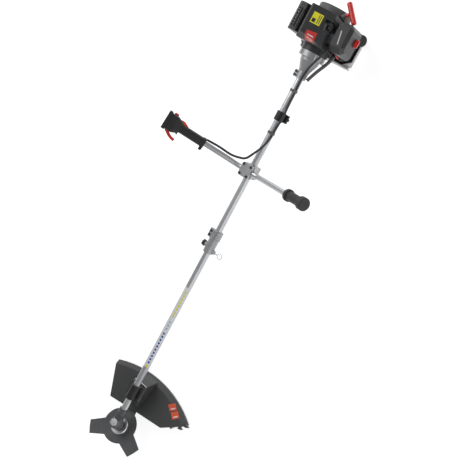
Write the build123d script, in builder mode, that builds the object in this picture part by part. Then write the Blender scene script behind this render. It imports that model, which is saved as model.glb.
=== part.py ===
from build123d import *
import os
from math import asin, atan2, cos, degrees, radians, sin, tan

# Brush cutter lying on the ground, in millimetres.
# +X runs along the drive tube from the blade to the engine, +Y to the operator's right, +Z up.
# The origin is on the ground, under the middle of the machine's box.

# ---- whole machine
AXIS_HEIGHT = 150.0       # drive tube axis above the ground
HEAD_X = -850.0           # where the blade spindle crosses the tube axis
TUBE_RADIUS = 13.0
TUBE_WALL = 1.5
SHAFT_RADIUS = 4.0
FIT = 0.05                # gap of a part seated on another
RUN = 0.08                # gap of a turning part
AIR = 0.6                 # gap between parts that pass each other

# ---- stations along the tube, measured from the spindle
GUARD_AT = 160.0
COUPLER_AT = 803.0
COUPLER_LENGTH = 90.0
BAR_AT = 1144.0
HARNESS_AT = 1363.0
CLIP_STATIONS = (1294.0, 1457.0)
CLUTCH_AT = 1506.0
ENGINE_AT = 1602.0

# ---- gear head and blade
SPINDLE_TILT = 30.0
HEAD_RADIUS = 22.0
HEAD_TOP = 27.0
HEAD_BOTTOM = -27.0
NECK_RADIUS = 17.0
NECK_END = 74.0
BORE_START = 44.0
SPINDLE_RADIUS = 6.0
STUD_RADIUS = 5.0
MODULE = 1.25
PINION_TEETH = 14
GEAR_TEETH = 19
UPPER_SEAT = 19.0
TOOTH_FACE = 6.0
BLADE_DROP = 46.0
BLADE_RADIUS = 127.5
BLADE_DISC = 71.0
BLADE_THICKNESS = 1.6
BLADE_BORE = 12.7
TOOTH_ROOT = 78.0
BLADE_TURN = 9.0
TOOTH_TIP = 50.0
FLANGE_RADIUS = 36.0

# ---- blade guard, a fan behind the blade
GUARD_RISE = 7.0          # how much flatter the panel lies than the blade
GUARD_FRONT = 82.0
GUARD_CLEAR = 28.0        # panel above the blade at its front edge
GUARD_RADIUS = 443.0
GUARD_CENTRE = (-208.0, -2.0)
GUARD_RIGHT = 182.0
GUARD_LEFT = -228.0
GUARD_CORNERS = [(97.0, -148.0), (82.0, -30.0), (62.0, 105.0)]   # along its front edge
GUARD_WALL = 3.0
GUARD_FLARE = 21.0
GUARD_STEP = 20.0
GUARD_LIP = 8.0
PLATE_THICKNESS = 3.0
CLAMP_LENGTH = 62.0
CLAMP_HALF = 29.0
CLAMP_RADIUS = 19.0
CLAMP_SEAT = -19.0

# ---- screws that hold the clamps
SCREW_SHANK = 2.5
SCREW_HEAD = 4.2
SCREW_HEAD_HEIGHT = 4.0
SCREW_GAP = 0.2

# ---- handlebar
BAR_RADIUS = 10.0
BAR_WALL = 1.5
BAR_RISE = 31.0           # height of the bar's axis over the tube's
BAR_FLAT = 45.0
BAR_REACH = 300.0
BAR_LIFT = 155.0
BAR_BEND = 60.0
BAR_LEAN = 10.0
SADDLE_HALF = 25.0
SADDLE_WIDTH = 24.0
GRIP_RADIUS = 17.0
CABLE_RADIUS = 4.2

# ---- clutch and engine
CLUTCH_NECK = 18.0
CLUTCH_CONE = 34.0
CLUTCH_FLANGE = 44.0
FLANGE_THICKNESS = 20.0
DRUM_RADIUS = 27.0
BEARING_RADIUS = 14.0
BEARING_WIDTH = 8.0
FAN_RADIUS = 41.0
CRANK_AT = 1668.0
CRANK_RADIUS = 17.0
ROD_LENGTH = 52.0
CYLINDER_BORE = 22.0
CYLINDER_TOP = 94.0
SHROUD_END = 1735.0
SHROUD_WALL = 3.0
SHROUD_RIGHT = 46.0
SHROUD_LEFT = -48.0
SHROUD_TOP = 118.0
REEL_RADIUS = 46.0
ROPE_RADIUS = 2.0
STARTER_DEPTH = 27.0
PULL = Vector(0.68, -0.73, 0.0).normalized()

tilt = radians(SPINDLE_TILT)
spindle_axis = Vector(sin(tilt), 0, cos(tilt))
rearward = Vector(cos(tilt), 0, -sin(tilt))
head_centre = Vector(HEAD_X, 0, AXIS_HEIGHT)


def tube_plane(station, side=0.0, rise=0.0):
    """A plane across the tube, facing the engine, its x to the right and its y up."""
    return Plane(origin=(HEAD_X + station, side, AXIS_HEIGHT + rise), x_dir=(0, 1, 0), z_dir=(1, 0, 0))


def side_plane(side=0.0):
    """The upright plane along the tube, facing left: x is the station, y the height over the axis."""
    return Plane(origin=(HEAD_X, side, AXIS_HEIGHT), x_dir=(1, 0, 0), z_dir=(0, -1, 0))


def top_plane(rise=0.0):
    """The level plane at a height over the axis, its x the station and its y to the right."""
    return Plane(origin=(HEAD_X, 0, AXIS_HEIGHT + rise), x_dir=(1, 0, 0), z_dir=(0, 0, 1))


def spindle_plane(height=0.0):
    """A plane across the blade spindle, its x to the rear and its y to the right."""
    return Plane(origin=head_centre + spindle_axis * height, x_dir=rearward, z_dir=spindle_axis)


def disc(plane, radius, height, hole=0.0, mode=Mode.ADD):
    """A round plate or ring standing on a plane."""
    with BuildSketch(plane) as outline:
        Circle(radius)
        if hole > 0:
            Circle(hole, mode=Mode.SUBTRACT)
    extrude(outline.sketch, amount=height, mode=mode)


def block(plane, width, depth, height, corner=0.0, mode=Mode.ADD):
    """A block standing on a plane, centred on its origin, with rounded upright edges."""
    with BuildSketch(plane) as outline:
        if corner > 0:
            RectangleRounded(width, depth, corner)
        else:
            Rectangle(width, depth)
    extrude(outline.sketch, amount=height, mode=mode)


def prism(plane, points, height, both=False, mode=Mode.ADD):
    """A straight prism over a closed outline."""
    with BuildSketch(plane) as outline:
        with BuildLine():
            Polyline(*points, close=True)
        make_face()
    extrude(outline.sketch, amount=height, both=both, mode=mode)


def turned(points, mode=Mode.ADD):
    """A body turned about the tube axis from (station, radius) points."""
    with BuildSketch(side_plane()) as outline:
        with BuildLine():
            Polyline(*points, close=True)
        make_face()
    revolve(outline.sketch, axis=Axis((HEAD_X, 0, AXIS_HEIGHT), (1, 0, 0)), mode=mode)


def pipe(points, radii, radius, bore=0.0):
    """A round bar or tube along straight runs joined by tangent arcs."""
    with BuildLine() as route:
        FilletPolyline(*points, radius=radii)
    path = route.wires()[0]
    start = Plane(origin=path @ 0, z_dir=path % 0)
    with BuildSketch(start) as section:
        Circle(radius)
        if bore > 0:
            Circle(bore, mode=Mode.SUBTRACT)
    sweep(section.sketch, path=path)
    return path.length


def screw_seat(plane, length, sink=8.0):
    """Cuts the clearance hole and the counterbore of one screw, from the seat of its head."""
    disc(plane, SCREW_SHANK + SCREW_GAP, -length, mode=Mode.SUBTRACT)
    disc(plane, SCREW_HEAD + SCREW_GAP, sink, mode=Mode.SUBTRACT)


def moved(plane, x, y, height=0.0):
    """A parallel plane, shifted in its own directions."""
    return Plane(origin=plane.from_local_coords((x, y, height)), x_dir=plane.x_dir, z_dir=plane.z_dir)


# ---- where each clamp's screws stand
head_screws = [Plane(origin=(HEAD_X + station, side * (NECK_RADIUS - 2), AXIS_HEIGHT - 4),
                     x_dir=(1, 0, 0), z_dir=(0, side, 0)) for station in (54, 67) for side in (-1, 1)]
guard_screws = [moved(top_plane(-6), GUARD_AT + along, side)
                for along in (-CLAMP_LENGTH / 2 + 9, CLAMP_LENGTH / 2 - 9) for side in (-23.6, 23.6)]
COUPLER_END = COUPLER_AT + COUPLER_LENGTH
coupler_screws = [moved(top_plane(8), COUPLER_END - back, 24) for back in (10, 26)]
bar_screws = [moved(top_plane(BAR_RISE + 14), BAR_AT + along, side) for along in (-18,
                                                                                  18) for side in (-15, 15)]
harness_screws = [Plane(origin=(HEAD_X + HARNESS_AT, -27, AXIS_HEIGHT - 16), x_dir=(1, 0, 0),
                        z_dir=(0, -1, 0))]
neck_screws = [Plane(origin=(HEAD_X + CLUTCH_AT + along, 23, AXIS_HEIGHT + 9), x_dir=(1, 0, 0),
                     z_dir=(0, 0, 1))
               for along in (7, 19)]

# ================================================================ gear head

SHAFT_ANGLE = radians(90 - SPINDLE_TILT)
pinion_cone = atan2(sin(SHAFT_ANGLE), GEAR_TEETH / PINION_TEETH + cos(SHAFT_ANGLE))
gear_cone = SHAFT_ANGLE - pinion_cone
cone_length = MODULE * PINION_TEETH / 2 / sin(pinion_cone)
pinion_back = cone_length * cos(pinion_cone)
gear_back = cone_length * cos(gear_cone)
BEARING_STATION = 24.0
LOWER_BEARING = 16.0
UPPER_BEARING = 13.0
CAVITY_RADIUS = 15.0

with BuildPart() as gear_housing:
    disc(spindle_plane(HEAD_BOTTOM), HEAD_RADIUS, HEAD_TOP - HEAD_BOTTOM)
    chamfer(gear_housing.faces().sort_by(Axis(head_centre, spindle_axis))[-1].edges(), 5)
    disc(tube_plane(0), NECK_RADIUS, NECK_END)
    for rib in range(5):
        disc(tube_plane(27 + 5.5 * rib), NECK_RADIUS + 2.5 - 0.3 * rib, 2.6)
    block(moved(tube_plane(48), 0, -16), 16, 12, 24, corner=3)
    disc(spindle_plane(HEAD_TOP), 14.3, 12, mode=Mode.SUBTRACT)
    disc(spindle_plane(HEAD_BOTTOM), LOWER_BEARING + FIT, 15, mode=Mode.SUBTRACT)
    disc(spindle_plane(HEAD_BOTTOM), CAVITY_RADIUS, UPPER_SEAT - HEAD_BOTTOM, mode=Mode.SUBTRACT)
    disc(spindle_plane(UPPER_SEAT), UPPER_BEARING + FIT, HEAD_TOP - UPPER_SEAT, mode=Mode.SUBTRACT)
    disc(tube_plane(0), 11.5, BORE_START, mode=Mode.SUBTRACT)
    disc(tube_plane(BEARING_STATION), BEARING_RADIUS + FIT, 2 * BEARING_WIDTH, mode=Mode.SUBTRACT)
    disc(tube_plane(BORE_START), TUBE_RADIUS + FIT, NECK_END - BORE_START, mode=Mode.SUBTRACT)
    for plane in head_screws:
        disc(plane, SCREW_HEAD + SCREW_GAP, 8, mode=Mode.SUBTRACT)

with BuildPart() as gear_cap:
    disc(spindle_plane(HEAD_TOP), 14, 3)
    fillet(gear_cap.faces().sort_by(Axis(head_centre, spindle_axis))[-1].edges(), 1.2)
    with BuildSketch(spindle_plane(HEAD_TOP + 3)):
        RegularPolygon(radius=5, side_count=6)
    extrude(amount=2)


def turned_plane(plane, turn):
    """The same plane turned about its own normal."""
    x_dir = plane.x_dir * cos(radians(turn)) + plane.y_dir * sin(radians(turn))
    return Plane(origin=plane.origin, x_dir=x_dir, z_dir=plane.z_dir)


def bevel_gear(face_plane, back, cone, teeth, phase, hub_radius, hub_length):
    """A bevel gear with a hub behind it, its straight gaps narrowing toward the cone's tip."""
    shrink = 1 - TOOTH_FACE / cone_length
    pitch_radius = cone_length * sin(cone)
    tip = pitch_radius + 0.5 * MODULE
    low = pitch_radius - 0.8 * MODULE
    half_root = 0.30 * MODULE * 3.1416
    half_mouth = 0.42 * MODULE * 3.1416
    with BuildSketch(face_plane(back * shrink)) as narrow:
        Circle(tip * shrink)
    with BuildSketch(face_plane(back)) as wide:
        Circle(tip)
    loft([narrow.sketch, wide.sketch])
    for number in range(teeth):
        turn = phase + 360 / teeth * (number + 0.5)
        ends = []
        for scale in (shrink * 0.9, 1.1):
            with BuildSketch(turned_plane(face_plane(back * scale), turn)) as end:
                Polygon((low * scale, -half_root * scale), (1.2 * tip * scale, -half_mouth * scale),
                        (1.2 * tip * scale, half_mouth * scale), (low * scale, half_root * scale))
            ends.append(end.sketch)
        loft(ends, mode=Mode.SUBTRACT)
    disc(face_plane(back), hub_radius, hub_length)


with BuildPart() as drive_pinion:
    bevel_gear(tube_plane, pinion_back, pinion_cone, PINION_TEETH, 90, 7,
               BEARING_STATION - 0.5 - pinion_back)
    disc(tube_plane(BEARING_STATION - 1), SPINDLE_RADIUS, 2 * BEARING_WIDTH + 5)

with BuildPart() as output_spindle:
    bevel_gear(spindle_plane, gear_back, gear_cone, GEAR_TEETH, 180 / GEAR_TEETH, 9,
               UPPER_SEAT - 0.4 - gear_back)
    disc(spindle_plane(-BLADE_DROP + 10), SPINDLE_RADIUS, BLADE_DROP - 10 + gear_back - TOOTH_FACE)
    disc(spindle_plane(gear_back - TOOTH_FACE), STUD_RADIUS, HEAD_TOP - 1 - gear_back + TOOTH_FACE)
    disc(spindle_plane(-BLADE_DROP - 17), STUD_RADIUS, 30)
    chamfer(output_spindle.faces().sort_by(Axis(head_centre, spindle_axis))[0].edges(), 1)


with BuildPart() as blade_flange:
    disc(spindle_plane(-BLADE_DROP + 10), 14, 8)
    disc(spindle_plane(-BLADE_DROP + BLADE_THICKNESS / 2), FLANGE_RADIUS, 9.2)
    chamfer(blade_flange.faces().sort_by(Axis(head_centre, spindle_axis))[-3].edges().sort_by(SortBy.RADIUS)[-1], 3)
    disc(spindle_plane(-BLADE_DROP + BLADE_THICKNESS / 2), BLADE_BORE - FIT, -2.2)
    disc(spindle_plane(-BLADE_DROP + 10), SPINDLE_RADIUS + FIT, 8, mode=Mode.SUBTRACT)
    disc(spindle_plane(-BLADE_DROP + 10), STUD_RADIUS + FIT, -12, mode=Mode.SUBTRACT)

with BuildPart() as blade:
    with BuildSketch(spindle_plane(-BLADE_DROP - BLADE_THICKNESS / 2)):
        Circle(BLADE_DISC)
        with PolarLocations(0, 3, start_angle=BLADE_TURN):
            Polygon((0, -TOOTH_ROOT / 2), (BLADE_RADIUS - 1.5, -TOOTH_TIP / 2 - 2), (BLADE_RADIUS, 0),
                    (BLADE_RADIUS - 1.5, TOOTH_TIP / 2 + 2), (0, TOOTH_ROOT / 2))
        Circle(BLADE_BORE, mode=Mode.SUBTRACT)
    extrude(amount=BLADE_THICKNESS)

WASHER_TOP = -BLADE_DROP - BLADE_THICKNESS / 2
with BuildPart() as blade_fastening:
    disc(spindle_plane(WASHER_TOP), 27, -4, hole=STUD_RADIUS + FIT)
    disc(spindle_plane(WASHER_TOP), BLADE_BORE + FIT, -1.6, mode=Mode.SUBTRACT)
    disc(spindle_plane(WASHER_TOP - 4.2), 30, -9, hole=STUD_RADIUS + FIT)
    disc(spindle_plane(WASHER_TOP - 6), 27.5, -9, mode=Mode.SUBTRACT)
    with BuildSketch(spindle_plane(WASHER_TOP - 6.2)):
        RegularPolygon(radius=9.8, side_count=6)
        Circle(STUD_RADIUS + FIT, mode=Mode.SUBTRACT)
    extrude(amount=-8)

# ================================================================ blade guard
# The panel lies in its own plane; its x runs to the rear and its y to the right.
guard_tilt = radians(SPINDLE_TILT - GUARD_RISE)
guard_normal = Vector(sin(guard_tilt), 0, cos(guard_tilt))
guard_rear = Vector(cos(guard_tilt), 0, -sin(guard_tilt))
guard_front_edge = (head_centre + rearward * GUARD_FRONT
                    + spindle_axis * (GUARD_CLEAR - BLADE_DROP))
guard_origin = guard_front_edge - guard_rear * GUARD_FRONT
rear_reach = GUARD_CENTRE[0] + GUARD_RADIUS
guard_drop = (guard_origin.Z - rear_reach * sin(guard_tilt)) / cos(guard_tilt)


def guard_plane(height=0.0):
    """A plane along the guard's panel, at a height over its upper face."""
    return Plane(origin=guard_origin + guard_normal * height, x_dir=guard_rear, z_dir=guard_normal)


right_turn = degrees(asin((GUARD_RIGHT - GUARD_CENTRE[1]) / GUARD_RADIUS))
left_turn = degrees(asin((GUARD_LEFT - GUARD_CENTRE[1]) / GUARD_RADIUS))
panel_radius = GUARD_RADIUS - GUARD_FLARE


def on_guard_turn(radius, turn):
    """The point of the guard's arc of that radius at an angle about the arc's centre."""
    return (GUARD_CENTRE[0] + radius * cos(radians(turn)), GUARD_CENTRE[1] + radius * sin(radians(turn)))


def guard_outline(inset=0.0):
    """The closed outline of the panel, drawn inside a sketch, smaller by an inset."""
    radius = panel_radius
    right = on_guard_turn(radius, right_turn)
    left = on_guard_turn(radius, left_turn)
    middle = on_guard_turn(radius, (right_turn + left_turn) / 2)
    with BuildLine() as edge:
        Polyline(left, *GUARD_CORNERS, right)
        ThreePointArc(right, middle, left)
    make_face(edge.line)
    if inset > 0:
        offset(amount=-inset)


with BuildPart() as guard_shield:
    with BuildSketch(guard_plane()) as panel:
        guard_outline()
    extrude(panel.sketch, amount=-GUARD_WALL)
    with BuildSketch(guard_plane()) as lip:
        guard_outline()
        with BuildSketch(mode=Mode.SUBTRACT):
            guard_outline(GUARD_WALL)
    extrude(lip.sketch, amount=-GUARD_WALL - GUARD_LIP)
    rim_start = guard_rear * cos(radians(left_turn)) + Vector(0, sin(radians(left_turn)), 0)
    rim_plane = Plane(origin=guard_plane().from_local_coords((*GUARD_CENTRE, 0)),
                      x_dir=rim_start, z_dir=rim_start.cross(guard_normal))
    with BuildSketch(rim_plane) as rim:
        Polygon((panel_radius - 2, 0), (panel_radius + 1, 0), (GUARD_RADIUS, -GUARD_STEP),
                (GUARD_RADIUS, -guard_drop), (GUARD_RADIUS - GUARD_WALL, -guard_drop),
                (GUARD_RADIUS - GUARD_WALL, -GUARD_STEP - 1), (panel_radius - 2, -GUARD_WALL))
    revolve(rim.sketch, axis=Axis(rim_plane.origin, guard_normal), revolution_arc=right_turn - left_turn)
    for reach, width in ((0.0, 16.0), (26.0, 12.0)):
        hook_x, hook_y = on_guard_turn(GUARD_RADIUS - 4 - reach, left_turn)
        with BuildSketch(guard_plane(-1)) as hook:
            Polygon((hook_x - width * 0.75, hook_y + width * 0.7), (hook_x + 3, hook_y + 3),
                    (hook_x - 2, hook_y - width * 0.9), (hook_x - width * 0.6, hook_y - width * 0.3))
        extrude(hook.sketch, amount=-GUARD_STEP - GUARD_WALL)
    PEDESTAL_TOP = CLAMP_SEAT - PLATE_THICKNESS
    pedestal_front = GUARD_AT - CLAMP_LENGTH / 2 - 26
    pedestal_back = GUARD_AT + CLAMP_LENGTH / 2 - 4
    panel_height = [guard_origin.Z - AXIS_HEIGHT - (station + HEAD_X - guard_origin.X) * tan(guard_tilt)
                    for station in (pedestal_front - 24, pedestal_back + 8)]
    prism(side_plane(), [(pedestal_front, PEDESTAL_TOP), (pedestal_front - 24, panel_height[0] - 1),
                         (pedestal_back + 8, panel_height[1] - 1), (pedestal_back, PEDESTAL_TOP)],
          CLAMP_HALF - 2, both=True)
    prism(side_plane(), [(pedestal_front + 5, PEDESTAL_TOP - 14), (pedestal_front - 12, panel_height[0] - 9),
                         (pedestal_back, panel_height[1] - 9), (pedestal_back - 5, PEDESTAL_TOP - 14)],
          CLAMP_HALF - 7, both=True, mode=Mode.SUBTRACT)
    for plane in guard_screws:
        disc(moved(plane, 0, 0, PEDESTAL_TOP + 6), SCREW_SHANK + SCREW_GAP, -9, mode=Mode.SUBTRACT)

with BuildPart() as guard_plate:
    block(moved(top_plane(PEDESTAL_TOP), GUARD_AT + 4, -2), CLAMP_LENGTH + 8, 2 * CLAMP_HALF + 4,
          PLATE_THICKNESS, corner=3)
    for plane in guard_screws:
        disc(moved(plane, 0, 0, CLAMP_SEAT + 6 + 1), SCREW_SHANK + SCREW_GAP, -9, mode=Mode.SUBTRACT)

with BuildPart() as guard_clamp:
    clamp_plane = tube_plane(GUARD_AT - CLAMP_LENGTH / 2)
    disc(clamp_plane, CLAMP_RADIUS, CLAMP_LENGTH)
    block(moved(clamp_plane, 0, (CLAMP_SEAT - 6) / 2), 2 * CLAMP_HALF, -CLAMP_SEAT - 6, CLAMP_LENGTH,
          corner=2)
    disc(clamp_plane, TUBE_RADIUS + FIT, CLAMP_LENGTH, mode=Mode.SUBTRACT)
    for plane in guard_screws:
        screw_seat(plane, 16)

with BuildPart() as line_cutter:
    cutter_x, cutter_y = on_guard_turn(panel_radius - 34, left_turn + 1.6)
    cutter_plane = turned_plane(moved(guard_plane(-GUARD_WALL - GUARD_LIP - 0.2), cutter_x, cutter_y),
                                left_turn)
    block(moved(cutter_plane, 0, 9), 34, 16, -2, corner=2)
    block(moved(cutter_plane, 0, 2, -2), 34, 2, -14)

# ================================================================ drive tube
SPLIT_AT = COUPLER_AT + COUPLER_LENGTH / 2
LATCH_AT = COUPLER_AT + 12
KNOB_AT = COUPLER_AT + 24
TUBE_END = CLUTCH_AT + 24

with BuildPart() as lower_tube:
    disc(tube_plane(BORE_START + 0.2), TUBE_RADIUS, SPLIT_AT - BORE_START - 0.4,
         hole=TUBE_RADIUS - TUBE_WALL)
    latch_plane = Plane(origin=(HEAD_X + LATCH_AT, 0, AXIS_HEIGHT), x_dir=(1, 0, 0), z_dir=(0, -1, 0))
    disc(latch_plane, 3.4, 20, mode=Mode.SUBTRACT)

with BuildPart() as upper_tube:
    disc(tube_plane(SPLIT_AT + 0.2), TUBE_RADIUS, TUBE_END - SPLIT_AT - 0.4, hole=TUBE_RADIUS - TUBE_WALL)

SHAFT_START = BEARING_STATION + 2 * BEARING_WIDTH + 5
with BuildPart() as drive_shafts:
    disc(tube_plane(SHAFT_START), SHAFT_RADIUS, SPLIT_AT - 15 - SHAFT_START)
    block(tube_plane(SPLIT_AT - 15), 5.4, 5.4, 16)
    disc(tube_plane(SPLIT_AT - 14), SHAFT_RADIUS + 2.5, 30)
    with BuildSketch(tube_plane(SPLIT_AT - 14)):
        Rectangle(5.6, 5.6)
    extrude(amount=15.2, mode=Mode.SUBTRACT)
    block(tube_plane(SPLIT_AT - 15), 5.4, 5.4, 16)
    disc(tube_plane(SPLIT_AT + 16), SHAFT_RADIUS, CLUTCH_AT + 26 - SPLIT_AT - 16)

bush_gap = (SPLIT_AT - BORE_START) / 5
with BuildPart() as shaft_bushes:
    for number in range(8):
        station = BORE_START + bush_gap * (number + 1) * 0.98 + (36 if number > 3 else 0)
        disc(tube_plane(station), TUBE_RADIUS - TUBE_WALL - FIT, 24, hole=SHAFT_RADIUS + RUN)

with BuildPart() as tube_coupler:
    disc(tube_plane(COUPLER_AT), 19.5, COUPLER_LENGTH)
    for rib in range(4):
        disc(tube_plane(COUPLER_END - 34 + 9 * rib), 22, 4)
    block(moved(tube_plane(COUPLER_END - 34), 21, 3), 20, 13, 34, corner=2)
    knob_plane = Plane(origin=(HEAD_X + KNOB_AT, 0, AXIS_HEIGHT), x_dir=(-1, 0, 0), z_dir=(0, 1, 0))
    disc(knob_plane, 10, 24)
    disc(latch_plane, 8, 27)
    disc(tube_plane(COUPLER_AT), TUBE_RADIUS + FIT, COUPLER_LENGTH, mode=Mode.SUBTRACT)
    block(moved(tube_plane(COUPLER_AT), 22, 4.5), 30, 1.6, COUPLER_LENGTH, mode=Mode.SUBTRACT)
    disc(knob_plane, SCREW_SHANK + 0.5 + RUN, 30, mode=Mode.SUBTRACT)
    disc(latch_plane, 3 + RUN, 30, mode=Mode.SUBTRACT)
    for plane in coupler_screws:
        screw_seat(plane, 12.2)

with BuildPart() as coupler_knob:
    with BuildSketch(moved(knob_plane, 0, 0, 24 + AIR)):
        Circle(10)
        with PolarLocations(9.5, 6):
            Circle(3)
    extrude(amount=12)
    fillet(coupler_knob.faces().sort_by(Axis.Y)[-1].edges(), 1.5)
    disc(moved(knob_plane, 0, 0, TUBE_RADIUS + 0.4), SCREW_SHANK + 0.5, 12)

with BuildPart() as latch_pin:
    disc(moved(latch_plane, 0, 0, TUBE_RADIUS - 1.2), 3, 30)
    with BuildSketch(Plane(origin=latch_plane.from_local_coords((0, 0, 51)), x_dir=(1, 0, 0),
                           z_dir=(0, 0, 1))):
        Circle(11)
        Circle(8.6, mode=Mode.SUBTRACT)
    extrude(amount=1.2, both=True)

# ================================================================ handlebar
lean = radians(BAR_LEAN)
bar_up = Vector(sin(lean), 0, cos(lean))
bar_back = Vector(cos(lean), 0, -sin(lean))
bar_centre = Vector(HEAD_X + BAR_AT, 0, AXIS_HEIGHT + BAR_RISE)
arm_angle = atan2(BAR_LIFT, BAR_REACH - BAR_FLAT)
ARM_LENGTH = BAR_FLAT + (BAR_REACH - BAR_FLAT) / cos(arm_angle)


def arm_plane(distance, side, height=0.0, back=0.0):
    """A plane across one arm of the bar, x to the blade, y up, at a distance from the bar's middle."""
    out = Vector(0, side * cos(arm_angle), 0) + bar_up * sin(arm_angle)
    start = bar_centre + Vector(0, side * BAR_FLAT, 0) + out * (distance - BAR_FLAT)
    plane = Plane(origin=start, x_dir=bar_back * -side, z_dir=out)
    up = out.cross(bar_back * -1) if side > 0 else out.cross(bar_back)
    return Plane(origin=start + up * height + bar_back * back, x_dir=plane.x_dir, z_dir=out)


with BuildPart() as handlebar:
    ends = [bar_centre + Vector(0, side * BAR_REACH, 0) + bar_up * BAR_LIFT for side in (-1, 1)]
    bends = [bar_centre + Vector(0, side * BAR_FLAT, 0) for side in (-1, 1)]
    pipe([ends[0], bends[0], bends[1], ends[1]], [BAR_BEND, BAR_BEND], BAR_RADIUS, BAR_RADIUS - BAR_WALL)

with BuildPart() as bar_saddle:
    block(moved(top_plane(-CLAMP_RADIUS), BAR_AT, 0), 2 * SADDLE_HALF, 2 * SADDLE_WIDTH,
          CLAMP_RADIUS + BAR_RISE - 0.5, corner=6)
    disc(tube_plane(BAR_AT - SADDLE_HALF), TUBE_RADIUS + FIT, 2 * SADDLE_HALF, mode=Mode.SUBTRACT)
    bar_bore = Plane(origin=bar_centre - Vector(0, SADDLE_WIDTH, 0), x_dir=(1, 0, 0), z_dir=(0, 1, 0))
    disc(bar_bore, BAR_RADIUS + FIT, 2 * SADDLE_WIDTH, mode=Mode.SUBTRACT)
    for plane in bar_screws:
        disc(plane, SCREW_SHANK + SCREW_GAP, -40, mode=Mode.SUBTRACT)

with BuildPart() as bar_cap:
    block(moved(top_plane(BAR_RISE + 0.5), BAR_AT, 0), 2 * SADDLE_HALF, 2 * SADDLE_WIDTH - 4, 15, corner=6)
    disc(bar_bore, BAR_RADIUS + FIT, 2 * SADDLE_WIDTH, mode=Mode.SUBTRACT)
    for plane in bar_screws:
        screw_seat(plane, 16)

GRIP_START = 196.0
HOUSING_START = 283.0
with BuildPart() as grip_collar:
    disc(arm_plane(GRIP_START - 14, 1), GRIP_RADIUS + 2, 13.6)
    block(moved(arm_plane(GRIP_START - 13, 1), 21, 0), 16, 14, 11, corner=3)
    disc(arm_plane(GRIP_START - 14, 1), BAR_RADIUS + FIT, 14, mode=Mode.SUBTRACT)


# The trigger hangs on the blade side, the lock-out lever and the stop switch on the engine side.
TRIGGER_PIVOT = (27.0, 42.0)
LEVER_PIVOT = (-14.5, -20.0)
TRIGGER_PIN = 1.5
LEVER_PIN = 1.2


def grip_side_plane(distance):
    """The plane through the grip's middle, facing up, its x to the blade and its y along the arm."""
    across = arm_plane(distance, 1)
    return Plane(origin=across.origin, x_dir=across.x_dir, z_dir=across.x_dir.cross(across.z_dir))


grip_middle = grip_side_plane(HOUSING_START)
if grip_middle.z_dir.Z < 0:
    grip_middle = Plane(origin=grip_middle.origin, x_dir=grip_middle.x_dir, z_dir=grip_middle.z_dir * -1)
OUT = 1 if (grip_middle.y_dir.Y > 0) else -1


def on_pivot(pivot, height):
    """A plane across a pivot of the grip, at a height over the grip's middle."""
    return moved(grip_middle, pivot[0], OUT * pivot[1], height)


def grip_shell(upper):
    """One half of the control grip's casing, split level along the arm."""
    with BuildPart() as shell:
        disc(arm_plane(GRIP_START, 1), GRIP_RADIUS, HOUSING_START - GRIP_START + 4)
        with BuildSketch(arm_plane(HOUSING_START, 1)) as throat:
            RectangleRounded(42, 36, 12)
        with BuildSketch(arm_plane(HOUSING_START + 22, 1)) as mouth:
            RectangleRounded(62, 44, 12)
        loft([throat.sketch, mouth.sketch])
        block(arm_plane(HOUSING_START + 22, 1), 62, 44, 26, corner=12)
        block(arm_plane(HOUSING_START + 48, 1), 70, 50, 12, corner=12)
        block(arm_plane(HOUSING_START + 6, 1), 34, 26, 42, mode=Mode.SUBTRACT)
        block(moved(arm_plane(HOUSING_START + 10, 1), 26, 0), 30, 12, 38, mode=Mode.SUBTRACT)
        block(moved(arm_plane(HOUSING_START - 26, 1), -21, 0), 24, 10, 42, mode=Mode.SUBTRACT)
        block(moved(arm_plane(HOUSING_START + 22, 1), -28, 0), 14, 16, 24, mode=Mode.SUBTRACT)
        block(moved(arm_plane(HOUSING_START - 2, 1), 17, 0), 20, 9, 9, mode=Mode.SUBTRACT)
        disc(arm_plane(GRIP_START, 1), BAR_RADIUS + FIT, HOUSING_START - GRIP_START + 60, mode=Mode.SUBTRACT)
        keep = Keep.TOP if upper else Keep.BOTTOM
        middle = arm_plane(GRIP_START, 1)
        split(bisect_by=Plane(origin=middle.origin, x_dir=middle.z_dir, z_dir=middle.y_dir), keep=keep)
        if not upper:
            disc(on_pivot(TRIGGER_PIVOT, -7), TRIGGER_PIN, 12.8)
            disc(on_pivot(LEVER_PIVOT, -6), LEVER_PIN, 10.8)
    return shell


grip_upper_shell = grip_shell(True)
grip_lower_shell = grip_shell(False)

with BuildPart() as throttle_trigger:
    with BuildSketch(moved(grip_middle, 0, 0, -5)):
        with BuildLine():
            Polyline((22, OUT * 44), (32, OUT * 46), (40, OUT * 34))
            ThreePointArc((40, OUT * 34), (49, OUT * 18), (53, OUT * -2))
            Line((53, OUT * -2), (43, OUT * -3))
            ThreePointArc((43, OUT * -3), (39, OUT * 14), (28, OUT * 30))
            Line((28, OUT * 30), (22, OUT * 44))
        make_face()
    extrude(amount=10)
    disc(on_pivot(TRIGGER_PIVOT, -5), TRIGGER_PIN + RUN, 10, mode=Mode.SUBTRACT)

with BuildPart() as lockout_lever:
    prism(moved(grip_middle, 0, 0, -4), [(-12, OUT * -22), (-18, OUT * -24), (-27, OUT * -4),
                                         (-27, OUT * 10),
                                         (-21, OUT * 14), (-17, OUT * 12)], 8)
    disc(on_pivot(LEVER_PIVOT, -4), 3, 8)
    disc(on_pivot(LEVER_PIVOT, -4), LEVER_PIN + RUN, 8, mode=Mode.SUBTRACT)

with BuildPart() as stop_switch:
    block(moved(arm_plane(HOUSING_START + 26, 1), -31, 0), 14, 13, 16, corner=2)

with BuildPart() as half_throttle_button:
    block(moved(arm_plane(HOUSING_START - 1, 1), 20, 0), 12, 7, 7, corner=1.5)

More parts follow.
